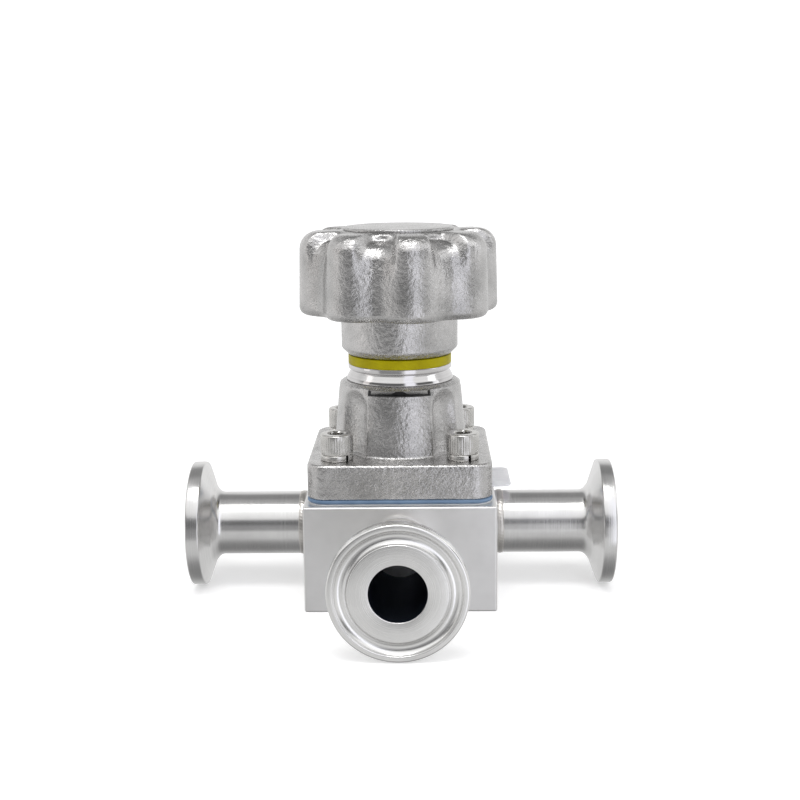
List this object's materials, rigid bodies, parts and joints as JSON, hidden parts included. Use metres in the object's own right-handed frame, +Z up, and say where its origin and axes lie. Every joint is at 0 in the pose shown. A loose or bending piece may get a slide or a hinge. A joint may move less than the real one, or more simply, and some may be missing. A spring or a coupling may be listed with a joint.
{
  "type": "diaphragm valve",
  "caption": "Hand-operated three-way diaphragm valve: square block body, clamp ferrule ports, bolted cast bonnet, position ring and lobed handwheel.",
  "frame": {"origin": "centre of the block's flat underside, below the spindle", "axes": "+X along the straight run towards the right-hand port, -Y towards the third port, +Z up the spindle"},
  "size_m": [0.115, 0.0866, 0.0987],
  "materials": {
    "machined_steel": "fine machined satin",
    "turned_steel": "turned satin",
    "polished_steel": "polished",
    "cast_steel": "electropolished sand casting",
    "screw_steel": "bright",
    "bronze": "turned",
    "white_ply": "waxy, slightly translucent",
    "blue_rubber": "matte",
    "black_rubber": "matte",
    "yellow_plastic": "satin"
  },
  "bodies": {
    "valve": {"valve_body": "machined_steel", "ferrule_left": "turned_steel", "ferrule_right": "turned_steel", "ferrule_front": "turned_steel", "diaphragm_face": "white_ply", "diaphragm_backing": "blue_rubber", "bonnet": "cast_steel", "bonnet_screws": "screw_steel", "lock_washers": "screw_steel", "spindle_bush": "polished_steel", "spindle_oring": "black_rubber", "bush_oring": "black_rubber", "bush_clip": "screw_steel", "indicator_ring": "yellow_plastic"},
    "lift": {"compressor": "machined_steel", "compressor_pins": "turned_steel", "diaphragm_stud": "turned_steel", "thrust_washer": "bronze"},
    "wheel": {"handwheel": "cast_steel", "handwheel_hub": "cast_steel", "spindle": "turned_steel", "stop_ring": "screw_steel", "handwheel_key": "screw_steel", "handwheel_washer": "screw_steel", "handwheel_nut": "screw_steel", "handwheel_cap": "cast_steel"}
  },
  "joints": [
    {"name": "compressor_lift", "type": "slide", "parent": "valve", "child": "lift", "axis": [0, 0, 1], "range_m": [0, 0.0045], "deforming": ["diaphragm_face", "diaphragm_backing"]},
    {"name": "handwheel_turn", "type": "hinge", "parent": "lift", "child": "wheel", "pos_m": [0, 0, 0.0172], "axis": [0, 0, 1], "range_deg": [0, 810]}
  ],
  "couplings": [
    {"joint": "compressor_lift", "follows": "handwheel_turn", "m_per_rad": 0.00031831}
  ]
}
